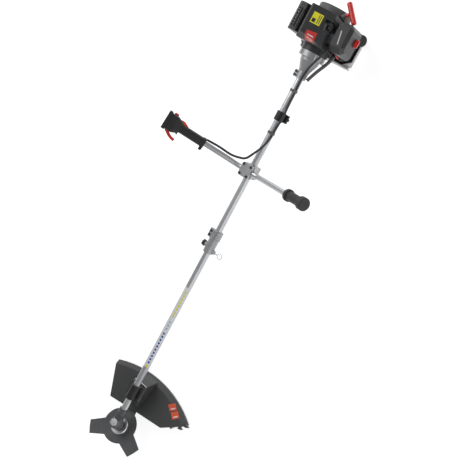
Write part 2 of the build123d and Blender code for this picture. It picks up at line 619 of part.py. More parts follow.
with BuildPart() as plain_grip:
    PLAIN_START = 248.0
    PLAIN_END = ARM_LENGTH + 5
    disc(arm_plane(PLAIN_START, -1), 16.5, PLAIN_END - PLAIN_START)
    disc(arm_plane(PLAIN_START, -1), 21, 11)
    disc(arm_plane(PLAIN_END - 24, -1), 22.5, 24)
    fillet(plain_grip.edges().filter_by(GeomType.CIRCLE).group_by(SortBy.RADIUS)[-1], 4)
    disc(arm_plane(PLAIN_START, -1), BAR_RADIUS + FIT, ARM_LENGTH - PLAIN_START + 0.1, mode=Mode.SUBTRACT)


# ---- throttle cable, clipped along the bar and the tube to the carburettor
def on_bar(distance, gap=1.5):
    """A point of the cable beside the bar, on the engine side."""
    return arm_plane(distance, 1, back=BAR_RADIUS + CABLE_RADIUS + gap).origin


def on_tube(station, side, height):
    """A point given by its station, its distance to the right and its height over the axis."""
    return Vector(HEAD_X + station, side, AXIS_HEIGHT + height)


cable_points = [on_bar(GRIP_START - 14.5), on_bar(130, 5), on_bar(80, 2), on_tube(1176, 24, 38),
                on_tube(1206, 8, 34),
                on_tube(1238, -6, 25), on_tube(1275, -13, 14.5), on_tube(1318, -13.5, 13),
                on_tube(1352, -21, 21),
                on_tube(1380, -20, 20), on_tube(1420, -13.5, 13), on_tube(1472, -13, 14),
                on_tube(1515, -15, 24),
                on_tube(1552, -26, 36), on_tube(1582, -42, 48), on_tube(1612, -57, 51),
                on_tube(1641.5, -56, 41)]


def corner_radii(points):
    """The largest arc that each corner's two runs leave room for."""
    radii = []
    for before, at, after in zip(points, points[1:], points[2:]):
        arriving = at - before
        leaving = after - at
        shorter = min(arriving.length, leaving.length)
        radii.append(0.45 * shorter / tan(radians(arriving.get_angle(leaving)) / 2))
    return radii


cable_radii = corner_radii(cable_points)
print("cable radii", [round(radius) for radius in cable_radii])
with BuildPart() as throttle_cable:
    cable_length = pipe(cable_points, cable_radii, CABLE_RADIUS)
print("cable volume", round(throttle_cable.part.volume), round(cable_length * 3.14159 * CABLE_RADIUS ** 2))

with BuildPart() as cable_clips:
    for station in CLIP_STATIONS:
        disc(tube_plane(station), TUBE_RADIUS + 1.5, 9, hole=TUBE_RADIUS + FIT)
        with BuildSketch(tube_plane(station, -13.4, 13.6)) as loop:
            Circle(CABLE_RADIUS + 2.4)
            Circle(CABLE_RADIUS + 0.9, mode=Mode.SUBTRACT)
        extrude(loop.sketch, amount=9)
    disc(tube_plane(CLIP_STATIONS[0] - 5), TUBE_RADIUS + FIT, 400, mode=Mode.SUBTRACT)

with BuildPart() as harness_clamp:
    disc(tube_plane(HARNESS_AT - 17), TUBE_RADIUS + 4.5, 34)
    block(moved(tube_plane(HARNESS_AT - 15), -20, -16), 14, 14, 30, corner=4)
    block(moved(side_plane(-3), HARNESS_AT - 3, -27), 24, 26, 10, corner=6)
    disc(tube_plane(HARNESS_AT - 17), TUBE_RADIUS + FIT, 34, mode=Mode.SUBTRACT)
    disc(moved(side_plane(-3), HARNESS_AT - 3, -31), 6, 10, mode=Mode.SUBTRACT)
    for plane in harness_screws:
        disc(plane, SCREW_SHANK + SCREW_GAP, -14.5, mode=Mode.SUBTRACT)

# ================================================================ clutch
CONE_START = CLUTCH_AT + 26
FLANGE_AT = ENGINE_AT - 1 - FLANGE_THICKNESS
DRUM_AT = CONE_START + 2 * BEARING_WIDTH + 20

with BuildPart() as clutch_housing:
    turned([(CLUTCH_AT, 0), (CLUTCH_AT, CLUTCH_NECK), (CONE_START, CLUTCH_NECK + 1),
            (DRUM_AT + 2, CLUTCH_CONE),
            (FLANGE_AT, CLUTCH_CONE + 1),
            (FLANGE_AT, CLUTCH_FLANGE), (ENGINE_AT - 1, CLUTCH_FLANGE), (ENGINE_AT - 1, 0)])
    block(moved(tube_plane(CLUTCH_AT), 22, 1), 16, 16, 26, corner=2)
    for turn in (45, 135, 225, 315):
        with BuildSketch(tube_plane(FLANGE_AT)) as ear:
            with PolarLocations(CLUTCH_FLANGE - 1, 1, start_angle=turn):
                Circle(6.5)
        extrude(ear.sketch, amount=FLANGE_THICKNESS)
    turned([(DRUM_AT - 3, 0), (DRUM_AT - 3, DRUM_RADIUS + 1.5), (ENGINE_AT, DRUM_RADIUS + 1.5),
            (ENGINE_AT, 0)],
           mode=Mode.SUBTRACT)
    disc(tube_plane(CLUTCH_AT), TUBE_RADIUS + FIT, 24, mode=Mode.SUBTRACT)
    disc(tube_plane(CLUTCH_AT), SPINDLE_RADIUS + 2, 60, mode=Mode.SUBTRACT)
    disc(tube_plane(CONE_START), BEARING_RADIUS + FIT, 2 * BEARING_WIDTH, mode=Mode.SUBTRACT)
    for plane in neck_screws:
        screw_seat(plane, 16)
    block(moved(tube_plane(CLUTCH_AT), 24, 0.5), 22, 1.6, 26, mode=Mode.SUBTRACT)

with BuildPart() as clutch_drum:
    disc(tube_plane(DRUM_AT), DRUM_RADIUS, 28)
    disc(tube_plane(DRUM_AT + 3), DRUM_RADIUS - 2.5, 28, mode=Mode.SUBTRACT)
    disc(tube_plane(CONE_START), SPINDLE_RADIUS, DRUM_AT - CONE_START + 1)

with BuildPart() as ball_bearings:
    disc(spindle_plane(HEAD_BOTTOM + 3), LOWER_BEARING, 10, hole=SPINDLE_RADIUS + RUN)
    disc(spindle_plane(UPPER_SEAT), UPPER_BEARING, HEAD_TOP - UPPER_SEAT - 0.2, hole=STUD_RADIUS + RUN)
    for number in range(2):
        start = BEARING_STATION + number * BEARING_WIDTH
        disc(tube_plane(start + 0.1), BEARING_RADIUS, BEARING_WIDTH - 0.2, hole=SPINDLE_RADIUS + RUN)
        start = CONE_START + number * BEARING_WIDTH
        disc(tube_plane(start + 0.1), BEARING_RADIUS, BEARING_WIDTH - 0.2, hole=SPINDLE_RADIUS + RUN)

# ================================================================ engine
FAN_AT = ENGINE_AT + 3
CASE_START = CRANK_AT - 38
CASE_END = CRANK_AT + 44

with BuildPart() as flywheel:
    disc(tube_plane(DRUM_AT + 6), 21, 20)
    block(tube_plane(DRUM_AT + 5), 60, 3, 30, mode=Mode.SUBTRACT)
    disc(tube_plane(DRUM_AT + 5), 7, ENGINE_AT - DRUM_AT + 2)
    disc(tube_plane(FAN_AT + 1), 30, 4)
    disc(tube_plane(FAN_AT + 5), FAN_RADIUS, 4)
    with BuildSketch(tube_plane(FAN_AT + 9)) as vanes:
        with PolarLocations(30, 12):
            Rectangle(19, 2.4, rotation=20)
    extrude(vanes.sketch, amount=9)
    disc(tube_plane(FAN_AT + 5), 24, 14)
    disc(tube_plane(DRUM_AT + 4), 5.05, 80, mode=Mode.SUBTRACT)

with BuildPart() as crankshaft:
    disc(tube_plane(DRUM_AT + 5), 5, CASE_START - DRUM_AT - 5)
    disc(tube_plane(CASE_START - 2), 7.5, 26)
    disc(tube_plane(CRANK_AT + 14), 7.5, 34)
    disc(tube_plane(CRANK_AT + 44), 5, 30)

with BuildPart() as crankcase:
    disc(tube_plane(CASE_START), 36, CASE_END - CASE_START)
    block(moved(top_plane(14), CRANK_AT, 0), 60, 56, 22, corner=4)
    for side in (-24, 24):
        block(moved(top_plane(-47), CRANK_AT, side), 56, 12, 30, corner=3)
    disc(tube_plane(CRANK_AT - 14), 29, 28, mode=Mode.SUBTRACT)
    disc(moved(top_plane(0), CRANK_AT, 0), CYLINDER_BORE + 0.5, 40, mode=Mode.SUBTRACT)
    disc(tube_plane(CASE_START - 1), 7.5 + RUN, 90, mode=Mode.SUBTRACT)

with BuildPart() as piston_and_rod:
    for start in (CRANK_AT - 13, CRANK_AT + 5):
        disc(tube_plane(start), 27, 8)
    disc(moved(tube_plane(CRANK_AT - 6), 0, CRANK_RADIUS), 5, 12)
    disc(moved(tube_plane(CRANK_AT - 4), 0, CRANK_RADIUS), 9, 8, hole=5 + FIT)
    disc(moved(tube_plane(CRANK_AT - 3), 0, CRANK_RADIUS + ROD_LENGTH), 7, 6, hole=4 + FIT)
    block(moved(top_plane(CRANK_RADIUS + 8.6), CRANK_AT, 0), 5, 9, ROD_LENGTH - 15)
    disc(moved(tube_plane(CRANK_AT - 16), 0, CRANK_RADIUS + ROD_LENGTH), 4, 32)
    disc(moved(top_plane(CRANK_RADIUS + ROD_LENGTH - 14), CRANK_AT, 0), CYLINDER_BORE - RUN, 28)

with BuildPart() as cylinder:
    disc(moved(top_plane(36.2), CRANK_AT, 0), CYLINDER_BORE + 5, CYLINDER_TOP - 40)
    block(moved(top_plane(36.2), CRANK_AT, 0), 58, 54, 5, corner=4)
    for fin in range(8):
        block(moved(top_plane(46 + 6 * fin), CRANK_AT, 0), 66, 66, 2.2, corner=10)
    block(moved(top_plane(40), CRANK_AT, 22), 34, 30, 30, corner=2)
    block(moved(top_plane(38), CRANK_AT - 2, -20), 34, 30, 26, corner=2)
    disc(moved(top_plane(30), CRANK_AT, 0), CYLINDER_BORE, 56, mode=Mode.SUBTRACT)

with BuildPart() as spark_plug:
    plug = Plane(origin=(HEAD_X + CRANK_AT + 20, -33.5, AXIS_HEIGHT + 72), x_dir=(1, 0, 0),
                 z_dir=(0.1, -0.8, 0.6))
    disc(moved(plug, 0, 0, 4.6), 6, 8)
    disc(moved(plug, 0, 0, 8), 8.5, 16)
    fillet(spark_plug.edges().sort_by(Axis(plug.origin, plug.z_dir))[-1], 6)

# ---- engine cover, a shell open below and behind
shroud_outline = [(SHROUD_RIGHT, -34), (SHROUD_RIGHT, 94), (SHROUD_RIGHT - 14, SHROUD_TOP),
                  (SHROUD_LEFT + 14, 101),
                  (SHROUD_LEFT, 84), (SHROUD_LEFT, -34)]
shroud_hollow = [(SHROUD_RIGHT - 3, -35), (SHROUD_RIGHT - 3, 93), (SHROUD_RIGHT - 15.5, SHROUD_TOP - 3.4),
                 (SHROUD_LEFT + 15.4, 97.6), (SHROUD_LEFT + 3, 82.6), (SHROUD_LEFT + 3, -35)]
MAIN_AT = ENGINE_AT + 26

def slope_front(wall):
    """Cuts the shroud's front back at a slant, or the room inside it, which stays a wall behind."""
    prism(side_plane(), [(MAIN_AT - 7, FRONT_CUT - 1.8 * wall), (MAIN_AT - 7, SHROUD_TOP + 1),
                         (MAIN_AT + 14 + 1.22 * wall, SHROUD_TOP + 1)], 80, both=True, mode=Mode.SUBTRACT)


FRONT_CUT = SHROUD_TOP - 30
with BuildPart() as shroud_room:
    prism(tube_plane(MAIN_AT - 3), shroud_hollow, SHROUD_END - MAIN_AT)
    slope_front(SHROUD_WALL)

with BuildPart() as engine_shroud:
    prism(tube_plane(MAIN_AT - 6), shroud_outline, SHROUD_END - MAIN_AT + 6)
    fillet(engine_shroud.edges().filter_by(Axis.X).filter_by(lambda edge: edge.center().Z > AXIS_HEIGHT), 6)
    slope_front(0)
    disc(tube_plane(ENGINE_AT), FAN_RADIUS + 7, MAIN_AT - ENGINE_AT)
    add(shroud_room.part, mode=Mode.SUBTRACT)
    disc(tube_plane(SHROUD_END - 4), REEL_RADIUS + 4, 5, mode=Mode.SUBTRACT)
    disc(tube_plane(ENGINE_AT + SHROUD_WALL), FAN_RADIUS + 4, MAIN_AT - ENGINE_AT, mode=Mode.SUBTRACT)
    disc(tube_plane(ENGINE_AT - 1), CLUTCH_CONE - 2, 20, mode=Mode.SUBTRACT)
    block(moved(top_plane(-20), CRANK_AT + 6, SHROUD_LEFT), 66, 14, 76, mode=Mode.SUBTRACT)
    block(moved(top_plane(34), CRANK_AT, SHROUD_RIGHT), 50, 14, 44, mode=Mode.SUBTRACT)
    block(moved(top_plane(55), CRANK_AT + 22, SHROUD_LEFT), 38, 40, 60, mode=Mode.SUBTRACT)
    for slot in range(5):
        block(moved(top_plane(60), CRANK_AT + 48 - 7 * slot, SHROUD_RIGHT), 3.4, 14, 24, mode=Mode.SUBTRACT)

with BuildPart() as recoil_housing:
    disc(tube_plane(SHROUD_END + 0.5), REEL_RADIUS + 14, STARTER_DEPTH)
    fillet(recoil_housing.faces().sort_by(Axis.X)[-1].edges(), 6)
    for turn in range(12):
        with BuildSketch(tube_plane(SHROUD_END + 8)) as vent:
            with PolarLocations(REEL_RADIUS - 10, 1, start_angle=30 * turn):
                SlotOverall(22, 5)
        extrude(vent.sketch, amount=30, mode=Mode.SUBTRACT)
    outlet = Vector(HEAD_X + SHROUD_END + 15, -56, AXIS_HEIGHT + 40)
    outlet_plane = Plane(origin=outlet, x_dir=(0, 0, 1), z_dir=PULL)
    disc(moved(outlet_plane, 0, 0, -12), 9, 12)
    disc(tube_plane(SHROUD_END + 0.4), REEL_RADIUS + 11, STARTER_DEPTH - 3, mode=Mode.SUBTRACT)
    disc(moved(outlet_plane, 0, 0, -30), ROPE_RADIUS + 1.5, 40, mode=Mode.SUBTRACT)
    disc(tube_plane(SHROUD_END + 14), 8, STARTER_DEPTH - 16.5)

with BuildPart() as starter_reel:
    disc(tube_plane(SHROUD_END + 5), REEL_RADIUS, 14)
    disc(tube_plane(SHROUD_END + 8), REEL_RADIUS + 1, 8, hole=REEL_RADIUS - 8, mode=Mode.SUBTRACT)
    disc(tube_plane(SHROUD_END + 4), 8.4, 20, mode=Mode.SUBTRACT)
    disc(tube_plane(SHROUD_END + 8.2), REEL_RADIUS - 3, 7.6, hole=REEL_RADIUS - 7.9)

HANDLE_OUT = 13.0
HANDLE_LENGTH = 76.0
with BuildPart() as starter_handle:
    handle_plane = Plane(origin=outlet + PULL * (HANDLE_OUT + 9), x_dir=(0, 0, 1),
                         z_dir=PULL.cross(Vector(0, 0, 1)))
    with BuildSketch(moved(handle_plane, 0, 0, -HANDLE_LENGTH / 2)) as bar:
        RectangleRounded(20, 17, 7.5)
    extrude(bar.sketch, amount=HANDLE_LENGTH)
    fillet(starter_handle.faces().filter_by(GeomType.PLANE).sort_by(Axis((0, 0, 0),
                                                                         handle_plane.z_dir))[0].edges(), 4)
    fillet(starter_handle.faces().filter_by(GeomType.PLANE).sort_by(Axis((0, 0, 0),
                                                                         handle_plane.z_dir))[-1].edges(), 4)
    disc(moved(outlet_plane, 0, 0, 0.3), 6, HANDLE_OUT + 4)
    disc(moved(outlet_plane, 0, 0, -11), ROPE_RADIUS, 14)

# ---- intake: carburettor, filter and their levers
CARB_HALF = 18.0
CARB_INNER = -37.5
FILTER_INNER = -66.0
COVER_INNER = -74.0
COVER_OUTER = -118.0
FILTER_START = 1632.0
FILTER_END = 1728.0

with BuildPart() as carburettor:
    carb_side = Plane(origin=(HEAD_X + CRANK_AT - 2, CARB_INNER + 1, AXIS_HEIGHT + 18), x_dir=(1, 0, 0),
                      z_dir=(0, -1, 0))
    block(moved(carb_side, 0, 0, 1), 2 * CARB_HALF, 36, CARB_INNER - FILTER_INNER - 0.1, corner=3)
    disc(moved(carb_side, 0, 0, 0), 13, 8)
    disc(moved(carb_side, 0, 0, 0), 9, 40, mode=Mode.SUBTRACT)
    disc(moved(carb_side, 0, 0, 12), 9, 3)
    block(moved(top_plane(36), CRANK_AT - 2, -52), 22, 16, 3, corner=2)
    disc(moved(top_plane(20), CRANK_AT - 2, -52), 2.6, 30, mode=Mode.SUBTRACT)
    disc(moved(top_plane(0), CRANK_AT - 2, -50), 10.5, -3)
    disc(moved(top_plane(1), CRANK_AT - 2, -50), 8.6, -9, mode=Mode.SUBTRACT)
    disc(moved(top_plane(7), CRANK_AT - 2, -50), 5.8, -9, mode=Mode.SUBTRACT)

with BuildPart() as throttle_arm:
    disc(moved(top_plane(28), CRANK_AT - 2, -52), 2.5, 16)
    block(moved(top_plane(39.6), CRANK_AT - 11, -56), 26, 7, 2, corner=3)

with BuildPart() as primer_bulb:
    disc(moved(top_plane(-3.4), CRANK_AT - 2, -50), 8.2, -9)
    fillet(primer_bulb.faces().sort_by(Axis.Z)[0].edges(), 6)
    disc(moved(top_plane(1), CRANK_AT - 2, -50), 5.6, -6)

with BuildPart() as filter_base:
    filter_side = Plane(origin=(HEAD_X, FILTER_INNER, AXIS_HEIGHT), x_dir=(1, 0, 0), z_dir=(0, -1, 0))
    prism(filter_side, [(FILTER_START, -30), (FILTER_START, 50), (FILTER_START + 18, 70),
                        (FILTER_END - 10, 70),
                        (FILTER_END, 60), (FILTER_END, -30)], FILTER_INNER - COVER_INNER - 0.2)
    disc(moved(filter_side, CRANK_AT - 2, 18, -1), 9, 20, mode=Mode.SUBTRACT)
    disc(moved(filter_side, FILTER_START + 9, 8, -1), 3 + RUN, 20, mode=Mode.SUBTRACT)

with BuildPart() as filter_cover:
    cover_side = moved(filter_side, 0, 0, FILTER_INNER - COVER_INNER)
    prism(cover_side, [(FILTER_START - 2, -32), (FILTER_START - 2, 50), (FILTER_START + 17, 72),
                       (FILTER_END - 8, 72), (FILTER_END + 2, 62), (FILTER_END + 2, -32)],
          COVER_INNER - COVER_OUTER)
    outer_face = filter_cover.faces().sort_by(Axis.Y)[0]
    chamfer(outer_face.edges(), 12)
    prism(cover_side, [(FILTER_START + 2, -28), (FILTER_START + 2, 48), (FILTER_START + 19, 68),
                       (FILTER_END - 10, 68), (FILTER_END - 2, 60), (FILTER_END - 2, -28)],
          COVER_INNER - COVER_OUTER - 16, mode=Mode.SUBTRACT)
    disc(moved(cover_side, 1690, 2, 0), 3 + RUN, 60, mode=Mode.SUBTRACT)

with BuildPart() as filter_knob:
    disc(moved(cover_side, 1690, 2, COVER_INNER - COVER_OUTER + 0.4), 14, 6)
    with BuildSketch(moved(cover_side, 1690, 2, COVER_INNER - COVER_OUTER + 6.4)) as wing:
        RectangleRounded(25, 8, 3)
    extrude(wing.sketch, amount=5)
    disc(moved(cover_side, 1690, 2, 2), 3, COVER_INNER - COVER_OUTER)

with BuildPart() as choke_lever:
    disc(moved(filter_side, FILTER_START + 9, 8, -6), 3, 13)
    block(moved(filter_side, FILTER_START - 3, 8, -6), 32, 9, 3, corner=4)

# ---- exhaust
with BuildPart() as muffler:
    block(moved(top_plane(-10), CRANK_AT + 8, 72), 74, 34, 78, corner=8)
    block(moved(top_plane(40), CRANK_AT, 48), 30, 21, 28, corner=2)
    disc(Plane(origin=(HEAD_X + CRANK_AT - 12, 88, AXIS_HEIGHT + 4), x_dir=(1, 0, 0), z_dir=(0, 1, 0)), 6, 3)

with BuildPart() as muffler_guard:
    cage_front = CRANK_AT - 34
    cage_outline = [(50, -42), (50, 76), (60, 88), (84, 88), (97, 76), (97, -22), (84, -42)]
    cage_hollow = [(48, -45), (48, 73), (61, 85), (83, 85), (94, 75), (94, -20), (82, -39)]
    prism(tube_plane(cage_front), cage_outline, 97)
    fillet(muffler_guard.edges().filter_by(Axis.X).filter_by(lambda edge: edge.center().Y > 55), 5)
    prism(tube_plane(cage_front + 3), cage_hollow, 91, mode=Mode.SUBTRACT)
    for slot in range(8):
        block(moved(top_plane(-14), cage_front + 13 + 10 * slot, 94), 4, 12, 76, mode=Mode.SUBTRACT)
    for slot in range(3):
        block(moved(top_plane(80), cage_front + 44, 62 + 10 * slot), 66, 4, 12, mode=Mode.SUBTRACT)

# ---- fuel tank under the engine, and its stand
TANK_TOP = -50.0
TANK_BOTTOM = -143.0
CAP_OUT = radians(35)


def slant_corner(front, left, legs, wall):
    """Cuts off the front left corner at a slant, or the room inside it, which stays a wall behind."""
    reach = (legs[0] ** 2 + legs[1] ** 2) ** 0.5 / legs[0] * wall
    corner = [(front - legs[0], left - legs[1]),
              (front - legs[0], left + 2 * legs[1] + reach),
              (front + 2 * legs[0] + reach * legs[0] / legs[1], left - legs[1])]
    prism(top_plane(-AXIS_HEIGHT - 1), corner, AXIS_HEIGHT, mode=Mode.SUBTRACT)


TANK_CORNER = (16.0, 22.0)
STAND_CORNER = (26.0, 36.0)
TANK_WALL = 3.0
with BuildPart() as tank_room:
    prism(tube_plane(CRANK_AT - 41), [(-91, -67), (-79, TANK_TOP - 3), (83, TANK_TOP - 3), (93, -63),
                                      (93, -111),
                                      (75, TANK_BOTTOM + 3), (-73, TANK_BOTTOM + 3), (-91, -111)], 104)
    slant_corner(CRANK_AT - 44, -94, TANK_CORNER, TANK_WALL)

with BuildPart() as fuel_tank:
    tank_outline = [(-94, -66), (-80, TANK_TOP), (84, TANK_TOP), (96, -62), (96, -112), (76, TANK_BOTTOM),
                    (-74, TANK_BOTTOM), (-94, -112)]
    prism(tube_plane(CRANK_AT - 44), tank_outline, 110)
    slant_corner(CRANK_AT - 44, -94, TANK_CORNER, 0)
    add(tank_room.part, mode=Mode.SUBTRACT)
    neck = Plane(origin=(HEAD_X + CRANK_AT + 46, -90, AXIS_HEIGHT - 78), x_dir=(1, 0, 0),
                 z_dir=(0, -cos(CAP_OUT), sin(CAP_OUT)))
    disc(moved(neck, 0, 0, -6), 15, 16.6)
    disc(moved(neck, 0, 0, -20), 12, 40, mode=Mode.SUBTRACT)

with BuildPart() as fuel_cap:
    disc(moved(neck, 0, 0, 11), 20, 13)
    fillet(fuel_cap.edges().sort_by(Axis(neck.origin, neck.z_dir))[-1], 3)
    disc(moved(neck, 0, 0, -1), 12 - RUN, 13)
    for turn in range(12):
        with BuildSketch(moved(neck, 0, 0, 12)) as groove:
            with PolarLocations(20.5, 1, start_angle=30 * turn):
                Circle(1.6)
        extrude(groove.sketch, amount=9, mode=Mode.SUBTRACT)

STAND_WALL = 3.0
with BuildPart() as stand_room:
    prism(tube_plane(CRANK_AT - 57), [(-101, -91), (-85, -AXIS_HEIGHT + 5), (87, -AXIS_HEIGHT + 5),
                                      (103, -91)], 94)
    slant_corner(CRANK_AT - 56, -104, STAND_CORNER, STAND_WALL)

with BuildPart() as tank_stand:
    stand_outer = [(-104, -92), (-88, -AXIS_HEIGHT), (90, -AXIS_HEIGHT), (106, -92)]
    prism(tube_plane(CRANK_AT - 56), stand_outer, 92)
    slant_corner(CRANK_AT - 56, -104, STAND_CORNER, 0)
    add(stand_room.part, mode=Mode.SUBTRACT)
    prism(tube_plane(CRANK_AT - 56), [(-86, -AXIS_HEIGHT + 1), (88, -AXIS_HEIGHT + 1), (100, -100),
                                      (10, -FAN_RADIUS - 7.2),
                                      (-10, -FAN_RADIUS - 7.2), (-98, -100)], 4)

with BuildPart() as fuel_line:
    line_points = [on_tube(1651, -46, -0.9), on_tube(1650, -47, -12), on_tube(1638, -56, -24),
                   on_tube(1627, -66, -36), on_tube(1627, -69, TANK_TOP + 0.8)]
    pipe(line_points, corner_radii(line_points), 2.5)

with BuildPart() as wire_conduit:
    conduit_points = [on_tube(1512, -27, 2), on_tube(1548, -40, -2), on_tube(1590, -58, -8),
                      on_tube(1621, -63, -20)]
    pipe(conduit_points, corner_radii(conduit_points), 6.5)

with BuildPart() as socket_screws:
    for planes, length in ((guard_screws, 15), (coupler_screws, 12), (bar_screws, 30), (harness_screws, 14),
                           (neck_screws, 14)):
        for plane in planes:
            disc(plane, SCREW_HEAD, SCREW_HEAD_HEIGHT)
            disc(plane, SCREW_SHANK, -length)
            with BuildSketch(moved(plane, 0, 0, SCREW_HEAD_HEIGHT)) as socket:
                RegularPolygon(radius=2.4, side_count=6)
            extrude(socket.sketch, amount=-2.4, mode=Mode.SUBTRACT)
    for plane in head_screws:
        disc(plane, SCREW_HEAD, SCREW_HEAD_HEIGHT)

pieces = {
    "gear_housing": gear_housing, "gear_cap": gear_cap, "drive_pinion": drive_pinion,
    "output_spindle": output_spindle, "blade_flange": blade_flange, "blade": blade,
    "blade_fastening": blade_fastening, "guard_shield": guard_shield, "guard_plate": guard_plate,
    "guard_clamp": guard_clamp, "line_cutter": line_cutter, "lower_tube": lower_tube,
    "upper_tube": upper_tube,
    "drive_shafts": drive_shafts, "shaft_bushes": shaft_bushes, "tube_coupler": tube_coupler,
    "coupler_knob": coupler_knob, "latch_pin": latch_pin, "handlebar": handlebar, "bar_saddle": bar_saddle,
    "bar_cap": bar_cap, "grip_collar": grip_collar, "grip_upper_shell": grip_upper_shell,
    "grip_lower_shell": grip_lower_shell, "throttle_trigger": throttle_trigger,
    "lockout_lever": lockout_lever,
    "stop_switch": stop_switch, "half_throttle_button": half_throttle_button, "plain_grip": plain_grip,
    "throttle_cable": throttle_cable, "cable_clips": cable_clips, "harness_clamp": harness_clamp,
    "clutch_housing": clutch_housing, "clutch_drum": clutch_drum, "ball_bearings": ball_bearings,
    "flywheel": flywheel, "crankshaft": crankshaft, "crankcase": crankcase, "piston_and_rod": piston_and_rod,
    "cylinder": cylinder, "spark_plug": spark_plug, "engine_shroud": engine_shroud,
    "recoil_housing": recoil_housing, "starter_reel": starter_reel, "starter_handle": starter_handle,
    "carburettor": carburettor, "throttle_arm": throttle_arm, "primer_bulb": primer_bulb,
    "filter_base": filter_base, "filter_cover": filter_cover, "filter_knob": filter_knob,
    "choke_lever": choke_lever, "muffler": muffler, "muffler_guard": muffler_guard, "fuel_tank": fuel_tank,
    "fuel_cap": fuel_cap, "tank_stand": tank_stand, "fuel_line": fuel_line, "wire_conduit": wire_conduit,
    "socket_screws": socket_screws,
}
os.makedirs("parts", exist_ok=True)
for name, piece in pieces.items():
    piece.part.label = name
    export_step(piece.part, f"parts/{name}.step")
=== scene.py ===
import math

import bpy
import numpy as np
from mathutils import Matrix


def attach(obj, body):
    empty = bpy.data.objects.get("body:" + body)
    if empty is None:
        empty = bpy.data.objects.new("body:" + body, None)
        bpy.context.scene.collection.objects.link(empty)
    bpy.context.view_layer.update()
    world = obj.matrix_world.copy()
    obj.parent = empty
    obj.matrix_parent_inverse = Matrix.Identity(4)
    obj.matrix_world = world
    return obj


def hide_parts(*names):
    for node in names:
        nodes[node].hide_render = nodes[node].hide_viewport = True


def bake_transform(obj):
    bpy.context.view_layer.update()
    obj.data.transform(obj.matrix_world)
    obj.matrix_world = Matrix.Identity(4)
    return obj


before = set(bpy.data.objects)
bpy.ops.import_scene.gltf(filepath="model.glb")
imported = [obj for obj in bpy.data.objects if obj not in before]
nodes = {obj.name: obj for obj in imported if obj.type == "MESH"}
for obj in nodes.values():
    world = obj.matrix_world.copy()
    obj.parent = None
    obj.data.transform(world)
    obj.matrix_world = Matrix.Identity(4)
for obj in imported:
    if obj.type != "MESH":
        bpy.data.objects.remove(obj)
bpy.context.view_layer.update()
AXIS_AT = 0.15                      # the tube's axis above the ground, in metres

# ---------------------------------------------------------------- the studio
# A pale sweep of floor with the camera above the machine's left side, its
# picture turned so that the tube climbs from the blade at the lower left.
CAMERA_AT = np.array((0.6126, -0.9716, 2.2643))
PICTURE_RIGHT = np.array((0.4632, -0.76472, -0.44793))
PICTURE_UP = np.array((0.85561, 0.51762, 0.00108))
camera = bpy.data.objects.new("camera", bpy.data.cameras.new("camera"))
camera.data.lens = 50
camera.data.sensor_width = 36
camera.data.clip_end = 50
right = PICTURE_RIGHT / np.linalg.norm(PICTURE_RIGHT)
up = PICTURE_UP - right * (PICTURE_UP @ right)
up /= np.linalg.norm(up)
turn = np.eye(4)
turn[:3, 0] = right
turn[:3, 1] = up
turn[:3, 2] = np.cross(right, up)
turn[:3, 3] = CAMERA_AT
camera.matrix_world = Matrix(turn.tolist())
bpy.context.scene.collection.objects.link(camera)
bpy.context.scene.camera = camera

FLOOR_REACH = 6.0
FLOOR_AT = -0.0005                  # just under the machine's lowest points


def sheet_of(name, points):
    """A mesh over a grid of points: rows run along the first index, columns
    along the second, and each cell of the grid becomes one four-sided face.
    Its UV goes from 0 to 1 along both."""
    rows, columns = points.shape[:2]
    index = np.arange(rows * columns).reshape(rows, columns)
    corners = (index[:-1, :-1], index[1:, :-1], index[1:, 1:], index[:-1, 1:])
    faces = np.stack(corners, axis=-1).reshape(-1, 4)
    mesh = bpy.data.meshes.new(name)
    mesh.from_pydata(points.reshape(-1, 3).tolist(), [], faces.tolist())
    layer = mesh.uv_layers.new(name="UVMap")
    u, v = np.meshgrid(np.linspace(0, 1, rows), np.linspace(0, 1, columns), indexing="ij")
    loops = np.empty(len(mesh.loops), np.int32)
    mesh.loops.foreach_get("vertex_index", loops)
    layer.data.foreach_set("uv", np.stack((u.ravel()[loops], v.ravel()[loops]), axis=-1).ravel())
    mesh.update()
    piece = bpy.data.objects.new(name, mesh)
    bpy.context.scene.collection.objects.link(piece)
    return piece


across = np.linspace(-FLOOR_REACH, FLOOR_REACH, 3)
floor_x, floor_y = np.meshgrid(across, across, indexing="ij")
floor = sheet_of("floor", np.stack((floor_x, floor_y, np.full_like(floor_x, FLOOR_AT)), axis=-1))
paper = bpy.data.materials.new("floor paper")
paper.use_nodes = True
paper_shader = paper.node_tree.nodes["Principled BSDF"]
paper_shader.inputs["Base Color"].default_value = (0.92, 0.92, 0.92, 1)
paper_shader.inputs["Roughness"].default_value = 0.9
paper_shader.inputs["Emission Color"].default_value = (1, 1, 1, 1)
paper_shader.inputs["Emission Strength"].default_value = 0.62
floor.data.materials.append(paper)

world = bpy.data.worlds.new("studio")
bpy.context.scene.world = world
world.use_nodes = True
world.node_tree.nodes["Background"].inputs["Color"].default_value = (1, 1, 1, 1)
world.node_tree.nodes["Background"].inputs["Strength"].default_value = 0.36


def soft_light(name, place, aim, size, power):
    """A square lamp at a place, turned to face the point it is aimed at."""
    lamp = bpy.data.objects.new(name, bpy.data.lights.new(name, "AREA"))
    lamp.data.size = size
    lamp.data.energy = power
    back = np.array(place) - np.array(aim)
    back = back / np.linalg.norm(back)
    side = np.cross((0, 0, 1), back)
    side = side / np.linalg.norm(side)
    pose = np.eye(4)
    pose[:3, 0] = side
    pose[:3, 1] = np.cross(back, side)
    pose[:3, 2] = back
    pose[:3, 3] = place
    lamp.matrix_world = Matrix(pose.tolist())
    bpy.context.scene.collection.objects.link(lamp)


soft_light("key lamp", (1.2, 1.6, 1.9), (-0.2, 0, 0.1), 1.6, 26)
soft_light("fill lamp", (-0.6, -2.2, 1.6), (0, 0, 0.1), 2.2, 15)
bpy.context.scene.view_settings.view_transform = "Standard"

